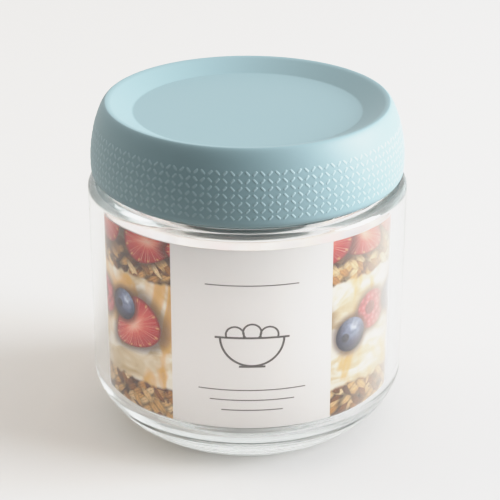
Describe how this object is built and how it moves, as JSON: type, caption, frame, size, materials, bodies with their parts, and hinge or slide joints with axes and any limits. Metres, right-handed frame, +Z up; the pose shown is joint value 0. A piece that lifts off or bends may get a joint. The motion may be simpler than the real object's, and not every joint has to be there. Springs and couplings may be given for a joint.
{
  "type": "glass food pot",
  "caption": "Round clear glass food pot with a thick base and rounded heel, a soft blue patterned lid pressed over its neck and a printed card sleeve lining the wall inside.",
  "frame": {"origin": "middle of the base, on the surface that the pot stands on", "axes": "+Z up along the axis that every piece is turned about, -Y towards the front of the printed sleeve"},
  "size_m": [0.0882, 0.0882, 0.093],
  "materials": {
    "clear_glass": "polished",
    "soft_blue": "matte",
    "printed_card": "satin"
  },
  "bodies": {
    "root": {"pot": "clear_glass", "lid": "soft_blue", "sleeve": "printed_card"}
  },
  "joints": []
}
